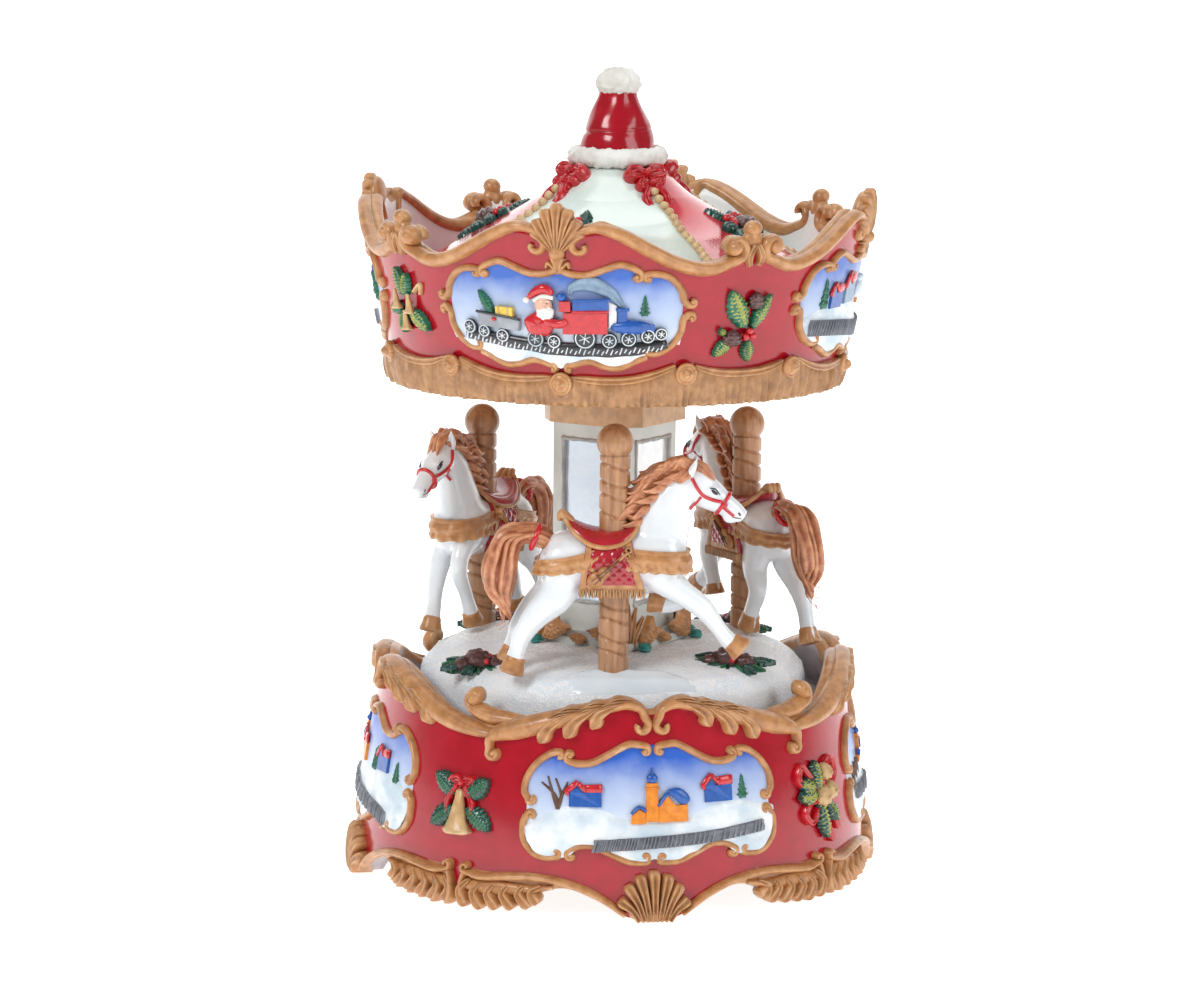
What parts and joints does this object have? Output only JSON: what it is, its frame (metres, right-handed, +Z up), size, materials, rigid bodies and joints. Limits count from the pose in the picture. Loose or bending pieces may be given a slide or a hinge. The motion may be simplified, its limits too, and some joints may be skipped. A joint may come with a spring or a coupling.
{
  "type": "carousel music box",
  "caption": "Wind-up carousel music box: horses on poles round a mirrored column turn with the roof above a hollow base that holds the musical movement.",
  "frame": {"origin": "centre of the base on the surface that it stands on; the turning axis passes through it", "axes": "+Z up along the turning axis; -Y towards the front; +X to the front's right"},
  "size_m": [0.1146, 0.1146, 0.17],
  "materials": {
    "red_resin": "glossy red paint on cast resin",
    "snow_resin": "white snow with glitter",
    "column_resin": "pale grey-white paint",
    "gold_resin": "tan-gold antiqued paint",
    "pole_resin": "brown-tan antiqued paint",
    "horse_resin": "glossy white paint",
    "mirror_glass": "silvered glass",
    "tent_resin": "painted red and mint white",
    "hat_resin": "glossy red with off-white fur",
    "cover_board": "fine black grain",
    "zinc_plate": "die-cast, satin",
    "steel": "bright steel",
    "comb_steel": "ground steel",
    "brass": "satin brass",
    "spring_steel": "blued spring steel",
    "black_plastic": "moulded black"
  },
  "bodies": {
    "base": {"base_shell": "red_resin", "bottom_cover": "cover_board", "cover_screws": "steel", "shaft_bush": "brass", "movement_bedplate": "zinc_plate", "bedplate_screws": "steel", "spring_housing": "steel", "mainspring": "spring_steel", "governor_bracket": "zinc_plate", "cylinder_bearing_inner": "zinc_plate", "cylinder_bearing_outer": "zinc_plate", "comb": "comb_steel", "comb_screws": "steel"},
    "key": {"winding_key": "brass", "winding_arbor": "steel"},
    "cylinder": {"music_cylinder": "brass", "cylinder_arbor": "steel", "cylinder_pinion": "brass", "governor_wheel": "brass"},
    "governor": {"governor_worm": "steel", "governor_vanes": "black_plastic"},
    "carousel": {"carousel_shaft": "steel", "crown_gear": "brass", "turntable": "snow_resin", "column": "column_resin", "mirror_1": "mirror_glass", "mirror_2": "mirror_glass", "mirror_3": "mirror_glass", "mirror_4": "mirror_glass", "column_cornice": "gold_resin", "pole_1": "pole_resin", "pole_2": "pole_resin", "pole_3": "pole_resin", "horse_1": "horse_resin", "horse_2": "horse_resin", "horse_3": "horse_resin", "roof_valance": "red_resin", "roof_nut": "steel", "roof_tent": "tent_resin", "hat_finial": "hat_resin"}
  },
  "joints": [
    {"name": "carousel_turn", "type": "hinge", "parent": "base", "child": "carousel", "pos_m": [0, 0, 0.036], "axis": [0, 0, 1], "continuous": true},
    {"name": "cylinder_turn", "type": "hinge", "parent": "base", "child": "cylinder", "pos_m": [0.02, 0, 0.02], "axis": [1, 0, 0], "continuous": true},
    {"name": "governor_turn", "type": "hinge", "parent": "base", "child": "governor", "pos_m": [0.0394, -0.00708, 0.02], "axis": [0, 0, 1], "continuous": true},
    {"name": "key_wind", "type": "hinge", "parent": "base", "child": "key", "pos_m": [0, 0, 0.005], "axis": [0, 0, -1], "range_deg": [0, 1260]}
  ],
  "couplings": [
    {"joint": "cylinder_turn", "follows": "carousel_turn", "ratio": -3.6667},
    {"joint": "governor_turn", "follows": "carousel_turn", "ratio": -88}
  ]
}
